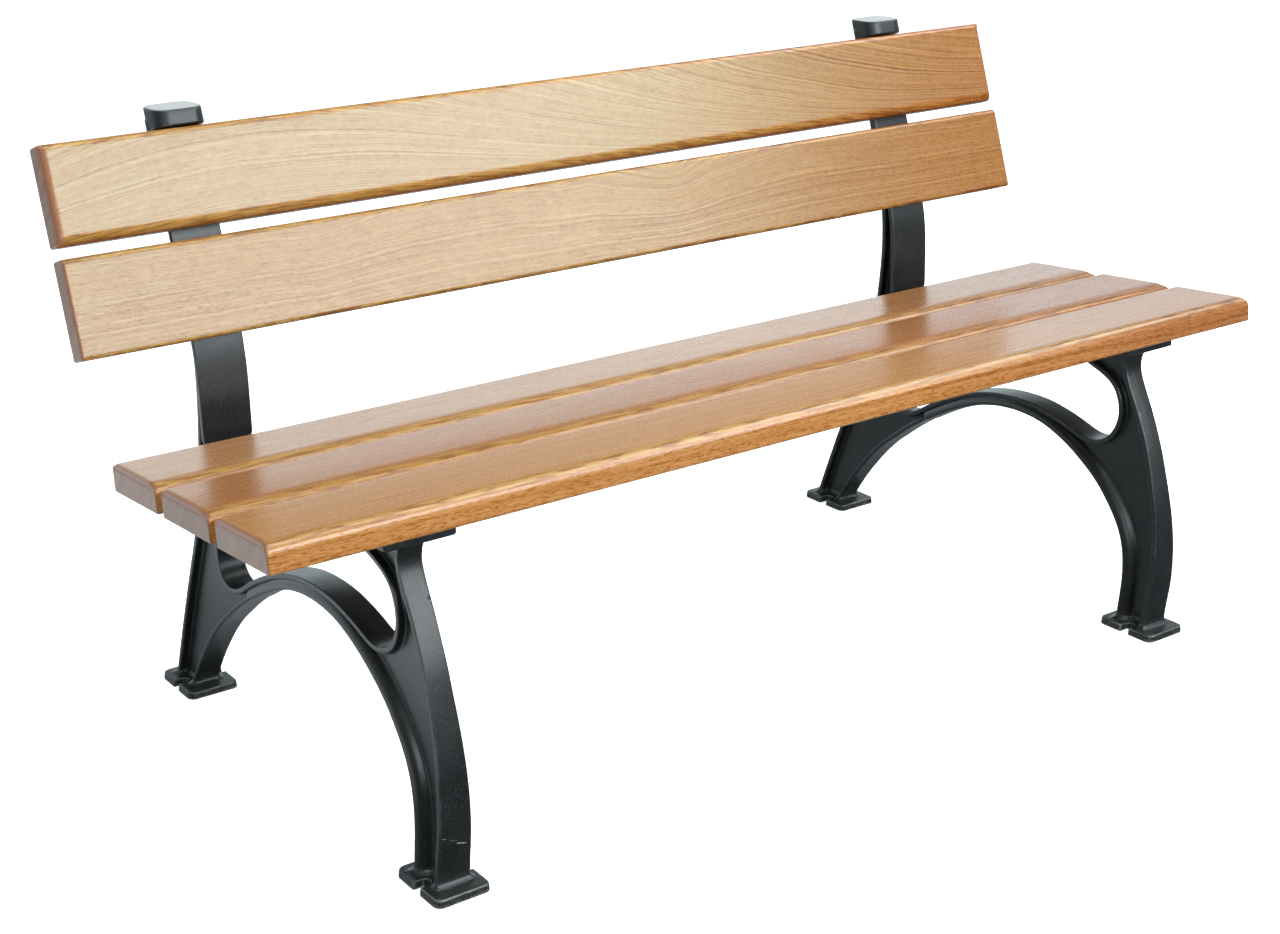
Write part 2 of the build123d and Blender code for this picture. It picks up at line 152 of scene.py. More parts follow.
class Casting:
    """Distance to the end frame's surface, in millimetres, about its middle plane."""

    REACH = 34.0

    def __init__(self, h):
        self.h = h
        self.y = np.arange(-376.0, 376.0 + h, h)
        self.z = np.arange(-3.0, 798.0 + h, h)
        front = smooth_curve([(-348.8, -16), *FRONT, (-303.5, 411), (-308.0, 419)])
        arch = smooth_curve([(-297.2, -16), *ARCH, (311.8, -4), (315.8, -14)])
        rear = smooth_curve([(363.6, -16), *REAR, (275.0, 800)])
        hole = smooth_curve(OPENING, closed=True)
        low, top = back_point(0, SLAT_T), back_point(278, SLAT_T)
        mid = [back_point(v, SLAT_T) for v in range(12, 278, 14)]
        post = smooth_curve([(164.9, 360), (164.9, 420), (165.3, 462), (167.6, 492), low, *mid, top], sigma=7.0)
        far = 2000.0
        self.f = [
            self.field(front, [(-far, front[-1][1]), (-far, front[0][1])]),
            self.field(arch, []),
            self.field(rear, [(far, rear[-1][1]), (far, rear[0][1])]),
            self.field(hole, [], closed=True),
            self.field(post, [(-far, post[-1][1]), (-far, post[0][1])]),
        ]

    def field(self, p, rest, closed=False):
        """Distance to a curve over the side view, negative on the open side."""
        y, z, reach = self.y, self.z, self.REACH
        d = np.full((len(y), len(z)), reach * reach, np.float32)
        a = p if closed else p[:-1]
        b = np.roll(p, -1, 0) if closed else p[1:]
        for (ay, az), (by, bz) in zip(a, b):
            i0, i1 = np.searchsorted(y, (min(ay, by) - reach, max(ay, by) + reach))
            j0, j1 = np.searchsorted(z, (min(az, bz) - reach, max(az, bz) + reach))
            if i0 >= i1 or j0 >= j1:
                continue
            ey, ez = by - ay, bz - az
            qy, qz = (y[i0:i1] - ay)[:, None], (z[j0:j1] - az)[None, :]
            t = np.clip((qy * ey + qz * ez) / (ey * ey + ez * ez), 0, 1)
            part = d[i0:i1, j0:j1]
            np.minimum(part, (qy - t * ey) ** 2 + (qz - t * ez) ** 2, out=part)
        d = np.sqrt(d)
        loop = np.array([*p, *rest])
        nxt = np.roll(loop, -1, 0)
        for j, zz in enumerate(z):
            hit = (loop[:, 1] <= zz) != (nxt[:, 1] <= zz)
            l, m = loop[hit], nxt[hit]
            cross = np.sort(l[:, 0] + (zz - l[:, 1]) / (m[:, 1] - l[:, 1]) * (m[:, 0] - l[:, 0]))
            inside = np.searchsorted(cross, y) % 2 == 1
            d[inside, j] *= -1
        return d

    def sample(self, y, z):
        """The five side-view distances at any points."""
        u = np.clip((y - self.y[0]) / self.h, 0, len(self.y) - 1.001)
        v = np.clip((z - self.z[0]) / self.h, 0, len(self.z) - 1.001)
        i, j = u.astype(int), v.astype(int)
        u, v = u - i, v - j
        return [f[i, j] * (1 - u) * (1 - v) + f[i + 1, j] * u * (1 - v)
                + f[i, j + 1] * (1 - u) * v + f[i + 1, j + 1] * u * v for f in self.f]

    def solid(self, x, y, z, fields):
        ax = np.abs(x)
        front, arch, rear, hole, post = fields
        ca, sa = math.cos(SEAT_TILT), math.sin(SEAT_TILT)
        qy, qz = y - SEAT_FRONT[0], z - SEAT_FRONT[1]
        v, t = qy * ca - qz * sa, qy * sa + qz * ca

        # web
        side = np.minimum(np.minimum(np.minimum(front, arch), np.minimum(rear, hole)) - 3.0,
                          np.minimum(np.maximum(-t - 4.0, post - 3.0), 781.0 - z))
        web = np.maximum(ax - 8.2, -side)

        # flanges; each outer face falls away a little from the parting line
        half = np.interp(z, *np.array(FRONT_HALF).T)
        df = front - 0.03 * ax
        bars = np.maximum(round_bar(np.maximum(-df, df - 8.0), ax - half, 1.5), t + 4.0)
        # the arch carries a broad roll from the front foot to behind the crown, a plain flange beyond
        e = (y - 122.0) * 0.846 - (z - 206.0) * 0.533
        on = np.where(y > 0, 1.0 - step01(-16.0, 4.0, e), 1.0)
        low = 1.0 - step01(60.0, 220.0, z)
        bars = np.minimum(bars, round_bar(np.maximum(-arch, arch - 6.6), ax - 18.0, 2.6))
        # section of the roll: steep at the arch, one long swell down to the web on the other side
        au, aw = np.where(arch > 1.5, 15.5, 3.4 + 1.6 * low), 16.0 + 1.2 * low
        su, sw = (arch - 1.5) / au, np.maximum(ax - 5.0, 0.0) / aw
        ring = np.hypot(su, sw)
        roll = (ring - 1.0) * ring / np.maximum(np.hypot(su / au, sw / aw), 1e-4)
        bars = np.minimum(bars, np.clip(roll, -30.0, 30.0) + 14.0 * (1.0 - on))
        dr = rear - 0.02 * ax
        bars = np.minimum(bars, np.maximum(round_bar(np.maximum(-dr, dr - 8.0), ax - 19.5, 2.2), z - 781.0))
        do = hole - 0.02 * ax
        bars = np.minimum(bars, round_bar(np.maximum(-do, do - 7.2), ax - 18.0, 1.8))
        dp = post - 0.2
        wide = 18.0 + 15.0 * step01(366.0, 396.0, z)
        bars = np.minimum(bars, np.maximum(round_bar(np.maximum(-dp, dp - 8.0), ax - wide, 2.0),
                                           np.maximum(z - 779.0, 366.0 - z)))
        body = round_union(web, bars, 3.2)

        # seat plate
        wide = 45.0 - 10.0 * np.clip((v - 427.2) / 34.1, 0, 1)
        long = np.maximum(15.0 - v, v - 499.5)
        corner = 6.0
        plan = np.minimum(np.maximum(long + corner, ax - wide + corner), 0) \
            + np.hypot(np.maximum(long + corner, 0), np.maximum(ax - wide + corner, 0)) - corner
        plate = round_bar(plan, np.maximum(t + 0.2, -12.5 - t), 2.4)
        body = round_union(body, plate, 6.0)

        # head of the post
        lean = math.tan(BACK_LEAN)
        cap = round_rect(x, y - 248.5 - lean * (z - 775.5), 32.5, 27.0, 19.0)
        under = 258.0 - (y - BACK_LOW[0]) * math.sin(BACK_LEAN) - (z - BACK_LOW[1]) * math.cos(BACK_LEAN)
        head = round_bar(cap, np.maximum(under, z - 795.0), 2.6)
        body = round_union(body, head, 3.0)

        # feet with an open slot in each side
        for fy in (-325.0, 325.0):
            q = round_rect(x, y - fy, 35.3, 47.5, 10.0) + 0.09 * np.maximum(z, 0)
            pad = round_bar(q, np.maximum(z - 10.0, -12.0 - z), 1.8)
            body = round_union(body, pad, 8.5)
            slot = np.hypot(np.maximum(24.3 - ax, 0), y - fy) - 7.0
            body = np.where(np.abs(y - fy) < 60.0, round_cut(body, np.minimum(slot, 1e3) * -1.0 - np.maximum(z - 15.0, 0) * 3.0, 1.4), body)
        return np.maximum(body, -z)

    def at(self, p):
        return self.solid(p[:, 0], p[:, 1], p[:, 2], self.sample(p[:, 1], p[:, 2]))

    def slope(self, p, e):
        g = np.empty_like(p)
        for a in range(3):
            s = np.zeros(3)
            s[a] = e
            g[:, a] = (self.at(p + s) - self.at(p - s)) / (2 * e)
        return g

    def settle(self, p, times):
        """Moves points the last little way onto the surface."""
        for _ in range(times):
            g = self.slope(p, 0.3)
            g /= np.maximum((g**2).sum(1), 0.05)[:, None]
            move = np.clip(self.at(p)[:, None] * g, -0.6, 0.6)
            move[np.abs(p[:, 0]) < 1e-6, 0] = 0
            p = p - move
        return p

    def surface(self):
        """Vertices and quads of the half with x >= 0, with the middle plane's vertices at x = 0."""
        h = self.h
        nx = int(47.0 / h) + 2
        xs = (np.arange(nx) - 0.5) * h
        yy, zz = self.y[:, None], self.z[None, :]
        vol = np.empty((nx, len(self.y), len(self.z)), np.float32)
        for i, x in enumerate(xs):
            vol[i] = self.solid(np.float32(x), yy, zz, self.f)
        neg = vol < 0
        n = neg.astype(np.int8)
        s = n[:-1] + n[1:]
        s = s[:, :-1] + s[:, 1:]
        s = s[:, :, :-1] + s[:, :, 1:]
        cell = np.argwhere((s > 0) & (s < 8))
        index = np.full(s.shape, -1, np.int32)
        index[tuple(cell.T)] = np.arange(len(cell))
        corner = np.array([(a, b, c) for a in (0, 1) for b in (0, 1) for c in (0, 1)])
        val = np.stack([vol[tuple((cell + o).T)] for o in corner], 1)
        total, count = np.zeros((len(cell), 3)), np.zeros(len(cell))
        for a in range(8):
            for b in range(a + 1, 8):
                if abs(corner[a] - corner[b]).sum() != 1:
                    continue
                hit = (val[:, a] < 0) != (val[:, b] < 0)
                k = val[hit, a] / (val[hit, a] - val[hit, b])
                total[hit] += corner[a] + k[:, None] * (corner[b] - corner[a])
                count[hit] += 1
        p = (cell + total / count[:, None]) * h + np.array([xs[0], self.y[0], self.z[0]])
        quads = []
        for axis in range(3):
            o = np.eye(3, dtype=int)[axis]
            first = neg[: neg.shape[0] - o[0], : neg.shape[1] - o[1], : neg.shape[2] - o[2]]
            second = neg[o[0]:, o[1]:, o[2]:]
            edge = np.argwhere(first != second)
            edge = edge[edge[:, 0] >= 1]
            out = first[tuple(edge.T)]
            u, w = np.eye(3, dtype=int)[(axis + 1) % 3], np.eye(3, dtype=int)[(axis + 2) % 3]
            good = np.all(edge - u - w >= 0, 1) & np.all(edge < np.array(s.shape), 1)
            edge, out = edge[good], out[good]
            q = np.stack([index[tuple((edge - d).T)] for d in (u + w, w, 0 * u, u)], 1)
            q[~out] = q[~out][:, ::-1]
            quads.append(q)
        return p, np.concatenate(quads)


def big_mesh(name, verts, quads):
    me = bpy.data.meshes.new(name)
    me.vertices.add(len(verts))
    me.vertices.foreach_set("co", np.asarray(verts, np.float32).ravel())
    me.loops.add(4 * len(quads))
    me.loops.foreach_set("vertex_index", np.asarray(quads, np.int32).ravel())
    me.polygons.add(len(quads))
    me.polygons.foreach_set("loop_start", np.arange(0, 4 * len(quads), 4, dtype=np.int32))
    me.update(calc_edges=True)
    return me


def read_vectors(collection, name):
    a = np.empty(len(collection) * 3, np.float32)
    collection.foreach_get(name, a)
    return a.reshape(-1, 3).astype(float)


def make_casting(target):
    cast = Casting(1.0)
    p, q = cast.surface()
    p = cast.settle(p, 2)
    p[np.abs(p[:, 0]) < 0.02, 0] = 0.0
    p[:, 2] = np.maximum(p[:, 2], 0.0)
    n = len(p)
    onmid = p[:, 0] == 0.0
    twin = np.arange(n)
    twin[~onmid] = n + np.arange((~onmid).sum())
    verts = np.r_[p, p[~onmid] * (-1, 1, 1)]
    quads = np.r_[q, twin[q][:, ::-1]]
    # a hair of roughness keeps the thinning even over the flat faces
    rough = verts + np.random.default_rng(7).normal(0.0, 0.022, verts.shape)
    me = big_mesh("end_frame_raw", rough * MM, quads)
    raw = bpy.data.objects.new("end_frame_raw", me)
    bpy.context.collection.objects.link(raw)
    mod = raw.modifiers.new("thin", "DECIMATE")
    mod.ratio = min(1.0, target / (2.0 * len(quads)))
    dg = bpy.context.evaluated_depsgraph_get()
    out = bpy.data.meshes.new_from_object(raw.evaluated_get(dg))
    bpy.data.objects.remove(raw)
    bpy.data.meshes.remove(me)
    out.name = "end_frame"
    c = cast.settle(read_vectors(out.vertices, "co") / MM, 2)
    c[:, 2] = np.maximum(c[:, 2], 0.0)
    out.vertices.foreach_set("co", (c * MM).astype(np.float32).ravel())
    out.update()
    out.shade_smooth()
    g = cast.slope(c, 0.3)
    size = np.linalg.norm(g, axis=1)
    g /= np.maximum(size, 1e-6)[:, None]
    own = read_vectors(out.vertex_normals, "vector")
    bad = (size < 0.4) | ((own * g).sum(1) < 0.75)
    g[bad] = own[bad]
    # how sharply the surface turns: above zero on edges, below in hollows
    e = 1.6
    turn = -6.0 * cast.at(c)
    for a in range(3):
        for s in (-e, e):
            o = np.zeros(3)
            o[a] = s
            turn += cast.at(c + o)
    turn /= e * e
    out.attributes.new("turn", "FLOAT", "POINT").data.foreach_set("value", turn.astype(np.float32))
    out.normals_split_custom_set_from_vertices([tuple(v) for v in g])
    return out


# ---------------------------------------------------------------------------
# The slats: planed boards with routed edges, mitred where two roundings meet
# ---------------------------------------------------------------------------
def fall(d, r):
    """How far a quarter-round of radius r has dropped at distance d from the edge."""
    d = min(max(d, 0.0), r)
    return r - math.sqrt(max(r * r - (r - d) ** 2, 0.0))


def corner(shape, seg=7):
    """A board edge from its face to its side: (in from the side, down from the face, turn of the normal).
    shape: how wide the planed fall on the face is, how far it turns in degrees, and the radius that follows."""
    run, turn, r = shape
    a = math.radians(turn)
    big = run / math.sin(a) if turn else 0.0
    out = []
    if turn:
        for i in range(6):
            q = a * i / 6
            out.append((run + r * (1 - math.sin(a)) - big * math.sin(q), big * (1 - math.cos(q)), q))
    for i in range(seg + 1):
        q = a + (math.pi / 2 - a) * i / seg
        out.append((r * (1 - math.sin(q)), big * (1 - math.cos(a)) + r * (math.cos(a) - math.cos(q)), q))
    return out


def board_section(w, t, shapes):
    """Points round a board's section with their normals; +z is its show face.
    shapes at front-top, rear-top, rear-under, front-under."""
    ring = []
    for k, (sy, sz) in enumerate(((-1, 1), (1, 1), (1, -1), (-1, -1))):
        pts = [(sy * (w / 2 - u), sz * (t / 2 - d), sy * math.sin(q), sz * math.cos(q)) for u, d, q in corner(shapes[k])]
        ring.append(pts if k % 2 else pts[::-1])
    out = []
    for k in range(4):
        out += ring[k]
        a, b = ring[k][-1], ring[(k + 1) % 4][0]
        run = math.hypot(b[0] - a[0], b[1] - a[1])
        n = max(int(run // 11), 1)
        last = 0.0
        for c in [1.2] + [run * i / n for i in range(1, n)] + [run - 1.2]:
            if c - last > 0.9 and run - c > 0.9:
                f = c / run
                out.append((a[0] + f * (b[0] - a[0]), a[1] + f * (b[1] - a[1]), a[2], a[3]))
                last = c
    return out


def make_slat(name, w, shapes, ends, origin, across, seed):
    """ends: radius of the end's edge at the show face, the under face and the two sides."""
    t, half = SLAT_T, SLAT_LENGTH / 2
    sec = board_section(w, t, shapes)
    deep = max(ends)
    near = sorted({round(r * (1 - math.cos(math.radians(90.0 * k / 9))), 4) for r in set(ends) for k in range(10)} | {deep + 1.2})
    kept = []
    for d in near:
        if not kept or d - kept[-1] > 0.04:
            kept.append(d)
    n = int((SLAT_LENGTH - 2 * kept[-1]) // 16)
    mid = [-half + kept[-1] + (SLAT_LENGTH - 2 * kept[-1]) * i / n for i in range(1, n)]
    xs = [-half + d for d in kept] + mid + [half - d for d in reversed(kept)]
    xs = [(-half, 0.8)] + [(x, 0.0) for x in xs] + [(half, 0.8)]
    verts = []
    for x, inset in xs:
        d = half - abs(x)
        show, under, side = fall(d, ends[0]), fall(d, ends[1]), fall(d, ends[2])
        for y, z, ny, nz in sec:
            cut = (show if nz > 0 else under) * nz * nz + side * ny * ny + inset
            # planing leaves the faces very slightly uneven
            q = Vector((x / 170.0 + seed, y / 55.0, z / 55.0))
            u = noise.noise(q) + 0.5 * noise.noise(q * 2.3)
            cut += 0.05 * (1.0 + u)
            verts.append((x * MM, (y - ny * cut) * MM, (z - nz * cut) * MM))
    m = len(sec)
    faces = [[i * m + (j + 1) % m, i * m + j, (i + 1) * m + j, (i + 1) * m + (j + 1) % m]
             for i in range(len(xs) - 1) for j in range(m)]
    faces.append([j for j in range(m)])
    faces.append([(len(xs) - 1) * m + j for j in reversed(range(m))])
    me = bpy.data.meshes.new(name)
    me.from_pydata(verts, [], faces)
    me.validate()
    me.shade_smooth()
    ob = bpy.data.objects.new(name, me)
    bpy.context.collection.objects.link(ob)
    ax, ay = Vector((1, 0, 0)), Vector((0, across[0], across[1]))
    az = ax.cross(ay)
    ob.matrix_world = Matrix(((ax.x, ay.x, az.x, 0.0), (ax.y, ay.y, az.y, origin[0] * MM),
                              (ax.z, ay.z, az.z, origin[1] * MM), (0, 0, 0, 1)))
    return ob


# ---------------------------------------------------------------------------
# Materials
# ---------------------------------------------------------------------------
class Graph:
    def __init__(self, tree):
        self.tree = tree
        tree.nodes.clear()

    def add(self, kind, **props):
        n = self.tree.nodes.new(kind)
        for k, v in props.items():
            setattr(n, k, v)
        return n

    def feed(self, socket, value):
        if isinstance(value, bpy.types.NodeSocket):
            self.tree.links.new(value, socket)
        else:
            socket.default_value = value

    def math(self, op, a, b=0.0, c=0.0, clamp=False):
        n = self.add("ShaderNodeMath", operation=op, use_clamp=clamp)
        for s, v in zip(n.inputs, (a, b, c)):
            self.feed(s, v)
        return n.outputs[0]

    def span(self, v, a0, a1, b0=0.0, b1=1.0, kind="SMOOTHSTEP"):
        n = self.add("ShaderNodeMapRange", interpolation_type=kind)
        for s, q in zip(n.inputs, (v, a0, a1, b0, b1)):
            self.feed(s, q)
        return n.outputs[0]

    def place(self, v, scale, move=(0, 0, 0)):
        n = self.add("ShaderNodeMapping")
        self.feed(n.inputs["Vector"], v)
        n.inputs["Location"].default_value = move
        n.inputs["Scale"].default_value = scale
        return n.outputs[0]

    def noise(self, v, scale=1.0, detail=2.0, rough=0.5, twist=0.0, color=False):
        n = self.add("ShaderNodeTexNoise")
        self.feed(n.inputs["Vector"], v)
        for k, q in (("Scale", scale), ("Detail", detail), ("Roughness", rough), ("Distortion", twist)):
            n.inputs[k].default_value = q
        return n.outputs["Color" if color else "Fac"]

    def noise1(self, w, scale=1.0, detail=2.0, rough=0.5):
        n = self.add("ShaderNodeTexNoise", noise_dimensions="1D")
        self.feed(n.inputs["W"], w)
        for k, q in (("Scale", scale), ("Detail", detail), ("Roughness", rough)):
            n.inputs[k].default_value = q
        return n.outputs["Fac"]

    def split(self, v):
        n = self.add("ShaderNodeSeparateXYZ")
        self.feed(n.inputs[0], v)
        return n.outputs

    def join(self, x, y, z):
        n = self.add("ShaderNodeCombineXYZ")
        for s, q in zip(n.inputs, (x, y, z)):
            self.feed(s, q)
        return n.outputs[0]

    def mix(self, f, a, b, blend="MIX"):
        n = self.add("ShaderNodeMix", data_type="RGBA", blend_type=blend)
        self.feed(n.inputs[0], f)
        self.feed(n.inputs[6], a)
        self.feed(n.inputs[7], b)
        return n.outputs[2]

    def ramp(self, f, stops):
        n = self.add("ShaderNodeValToRGB")
        self.feed(n.inputs[0], f)
        els = n.color_ramp.elements
        while len(els) < len(stops):
            els.new(0.5)
        for e, (p, c) in zip(els, stops):
            e.position = p
            e.color = (*c, 1.0)
        return n.outputs[0]

    def bump(self, height, strength, distance, normal=None):
        n = self.add("ShaderNodeBump")
        n.inputs["Strength"].default_value = strength
        n.inputs["Distance"].default_value = distance
        self.feed(n.inputs["Height"], height)
        if normal is not None:
            self.feed(n.inputs["Normal"], normal)
        return n.outputs[0]


def new_material(name):
    mat = bpy.data.materials.new(name)
    mat.use_nodes = True
    g = Graph(mat.node_tree)
    out = g.add("ShaderNodeOutputMaterial")
    bsdf = g.add("ShaderNodeBsdfPrincipled")
    g.tree.links.new(bsdf.outputs[0], out.inputs[0])
    return mat, g, bsdf


def dip(g, x, w, at, wide, deep, fade):
    """A place where the grain bends round something just outside the board."""
    u = g.math("MULTIPLY", g.math("ADD", x, -at), 1.0 / wide)
    bell = g.math("EXPONENT", g.math("MULTIPLY", g.math("MULTIPLY", u, u), -1.0))
    return g.math("MULTIPLY", bell, g.math("MULTIPLY", g.math("EXPONENT", g.math("MULTIPLY", w, -1.0 / fade)), deep))


def sweep_flow(g, x, y, z):
    """Grain that runs out of the top edge in long sweeps and flattens towards the lower one."""
    w = g.math("SUBTRACT", 0.0605, y)
    lean = g.math("MAXIMUM", g.math("MULTIPLY_ADD", w, -5.8, 1.0), 0.12)
    across = g.math("MULTIPLY", g.math("LOGARITHM", lean, math.e), -1.0 / 5.8)
    # 0.38 x + 0.15 x^2 - 0.30 x^3
    run = g.math("MULTIPLY_ADD", x, -0.30, 0.15)
    run = g.math("MULTIPLY_ADD", x, run, 0.38)
    return g.math("MULTIPLY_ADD", z, 0.8, g.math("SUBTRACT", across, g.math("MULTIPLY", x, run))), g.span(x, 0.0, 0.5, 1.0, 1.15)


def curl_flow(g, x, y, z):
    """Grain along the board that bends deeply round a knot above its top edge."""
    w = g.math("SUBTRACT", 0.0605, y)
    s = g.math("MULTIPLY_ADD", z, 0.7, w)
    for at, wide, deep, fade in ((0.122, 0.042, 0.034, 0.036), (0.115, 0.115, 0.034, 0.055), (-0.01, 0.030, -0.009, 0.060), (-0.43, 0.055, 0.010, 0.090),
                                 (-0.22, 0.130, -0.012, 0.110), (0.38, 0.090, -0.006, 0.120)):
        s = g.math("SUBTRACT", s, dip(g, x, w, at, wide, deep, fade))
    return s, g.math("ADD", dip(g, x, w, 0.118, 0.085, 1.5, 0.070), g.span(x, 0.0, 0.5, 1.0, 0.90))


def long_flow(g, x, y, z):
    """Grain that runs straight along the board."""
    return g.math("MULTIPLY_ADD", z, 0.9, g.math("MULTIPLY_ADD", x, 0.012, y)), 1.0


def wood(name, seed, flow, left, right, rim, edge, marks, pitch, gloss):
    """Varnished hardwood. flow gives the place across the grain and how boldly it shows; left and right are the mean colours
    towards the two ends, rim and edge those of the rounded edges and the narrow faces; marks are
    the strengths of the grain's lines and flecks on the broad faces, pitch how closely the lines lie."""
    mat, g, bsdf = new_material(name)
    coord = g.add("ShaderNodeTexCoord")
    pos, normal = coord.outputs["Object"], g.split(coord.outputs["Normal"])
    off = (seed * 3.17, seed * 1.31, seed * 2.23)
    slow = g.split(g.noise(g.place(pos, (2.6, 15.0, 15.0), off), detail=3.0, color=True))
    x, y, z = g.split(pos)
    yw = g.math("MULTIPLY_ADD", g.math("SUBTRACT", slow[0], 0.5), 0.014, y)
    zw = g.math("MULTIPLY_ADD", g.math("SUBTRACT", slow[1], 0.5), 0.010, z)
    s, bold = flow(g, x, yw, zw)
    wavy = g.noise(g.place(pos, (42.0, 80.0, 80.0), off), detail=2.0)
    s = g.math("MULTIPLY_ADD", g.math("SUBTRACT", wavy, 0.5), 0.0024, s)
    grain = g.join(x, s, z)

    def streaks(sx, ss, detail, shift, rough=0.5):
        return g.noise(g.place(grain, (sx, ss, 0.25 * ss), (off[0] + shift, off[1] + 2 * shift, off[2])), detail=detail, rough=rough)

    def lines(scale, shift, detail=1.0):
        return g.noise1(g.math("ADD", s, shift + seed), scale=scale * pitch, detail=detail, rough=0.6)

    nz = g.math("ABSOLUTE", normal[2])
    narrow = g.span(nz, 0.35, 0.75, 1.0, 0.0)
    fibre = streaks(22.0, 760.0, 2.0, 0.0, 0.65)
    dash = g.span(streaks(110.0, 560.0, 1.0, 5.3), 0.53, 0.64)
    pores = g.span(streaks(210.0, 900.0, 1.0, 9.1), 0.54, 0.66)
    fade = streaks(4.0, 22.0, 2.0, 3.1)
    fine = g.math("MULTIPLY", g.math("SUBTRACT", lines(235.0, 0.0, 2.0), 0.5), g.span(fade, 0.30, 0.70, 0.55, 1.15))
    dark = g.math("MULTIPLY", g.span(lines(165.0, 0.31), 0.58, 0.74), g.span(fade, 0.36, 0.62))
    light = g.math("MULTIPLY", g.span(lines(150.0, 0.77), 0.58, 0.74), g.span(fade, 0.38, 0.64, 1.0, 0.0))
    band = g.noise1(g.math("ADD", s, seed), scale=55.0, detail=2.0)
    broad = g.noise(g.place(pos, (2.2, 12.0, 12.0), (off[0] + 7.0, off[1], off[2])), detail=3.0)
    ripple = g.noise(g.place(grain, (150.0, 90.0, 90.0), (off[0], off[1] + 4.0, off[2])), detail=2.0)
    f = g.math("MULTIPLY", g.math("SUBTRACT", band, 0.5), 0.06)
    f = g.math("MULTIPLY_ADD", g.math("SUBTRACT", broad, 0.5), 0.08, f)
    f = g.math("MULTIPLY_ADD", fine, 1.0, f)
    f = g.math("MULTIPLY_ADD", dark, 0.18, g.math("MULTIPLY_ADD", light, -0.28, f))
    f = g.math("MULTIPLY", f, g.math("MULTIPLY", bold, g.math("MULTIPLY_ADD", narrow, 1.15 - marks[0], marks[0])))
    speck = g.math("MULTIPLY_ADD", pores, 0.20, g.math("MULTIPLY_ADD", dash, 0.18, -0.09))
    speck = g.math("MULTIPLY", speck, g.math("MULTIPLY_ADD", narrow, 0.7, 1.0))
    speck = g.math("MULTIPLY_ADD", g.math("SUBTRACT", fibre, 0.5), 0.50, speck)
    speck = g.math("MULTIPLY_ADD", g.math("SUBTRACT", ripple, 0.5), 0.24, speck)
    f = g.math("MULTIPLY_ADD", speck, g.math("MULTIPLY_ADD", narrow, 1.35 - marks[1], marks[1]), f)
    f = g.math("ADD", f, 0.40, clamp=True)
    # tone across the grain; its cool, pale low end turns the light lines nearly grey, a painted sheen varying along
    # the grain as well as the grain's own colour
    grain_tone_and_sheen = g.ramp(f, [(0.0, (0.65, 0.78, 1.28)), (0.40, (0.50, 0.50, 0.50)), (0.70, (0.395, 0.328, 0.21)), (1.0, (0.27, 0.18, 0.09))])
    # the colour shifts from the left end to the right; the paler, greyer left end is partly painted sheen from the
    # glare on that side, partly the wood's own colour
    along = g.span(x, 0.05, 0.75)

    def across(c):
        return g.mix(along, (*c, 1), (*(u * r / l for u, l, r in zip(c, left, right)), 1))

    # the rounded edges take less stain than the faces
    stain = g.span(streaks(26.0, 170.0, 2.0, 6.7), 0.47, 0.62, 0.0, 0.80)
    worn = g.mix(stain, across(rim), across((0.52 * rim[0], 0.36 * rim[1], 0.26 * rim[2])))
    tint = g.mix(narrow, g.mix(g.span(nz, 0.985, 0.999, 1.0, 0.0), across(left), worn), across(edge))
    base = g.mix(1.0, grain_tone_and_sheen, tint, "MULTIPLY")
    # sealed end grain, dark where its edge is rounded over
    nx = g.math("ABSOLUTE", normal[0])
    base = g.mix(g.span(nx, 0.10, 0.42), base, (0.225, 0.088, 0.042, 1))
    end = g.span(nx, 0.80, 0.985)
    fleck = g.noise(g.place(pos, (300.0, 520.0, 520.0), off), detail=2.0)
    endcol = g.mix(g.span(g.math("MULTIPLY_ADD", band, 0.5, g.math("MULTIPLY", fleck, 0.5)), 0.30, 0.70), (0.250, 0.138, 0.097, 1), (0.170, 0.090, 0.064, 1))
    base = g.mix(end, base, endcol)
    g.feed(bsdf.inputs["Base Color"], base)
    cloudy = g.noise(g.place(pos, (16.0, 42.0, 42.0), off), detail=3.0)
    rough = g.math("MULTIPLY_ADD", cloudy, 0.12, 0.17)
    rough = g.math("MULTIPLY_ADD", pores, 0.10, rough)
    rough = g.math("MULTIPLY_ADD", end, 0.22, rough)
    g.feed(bsdf.inputs["Roughness"], rough)
    h = g.math("MULTIPLY_ADD", pores, -0.8, g.math("MULTIPLY", fibre, 0.7))
    g.feed(bsdf.inputs["Normal"], g.bump(h, 0.10, 0.0004))
    bsdf.inputs["IOR"].default_value = gloss
    return mat


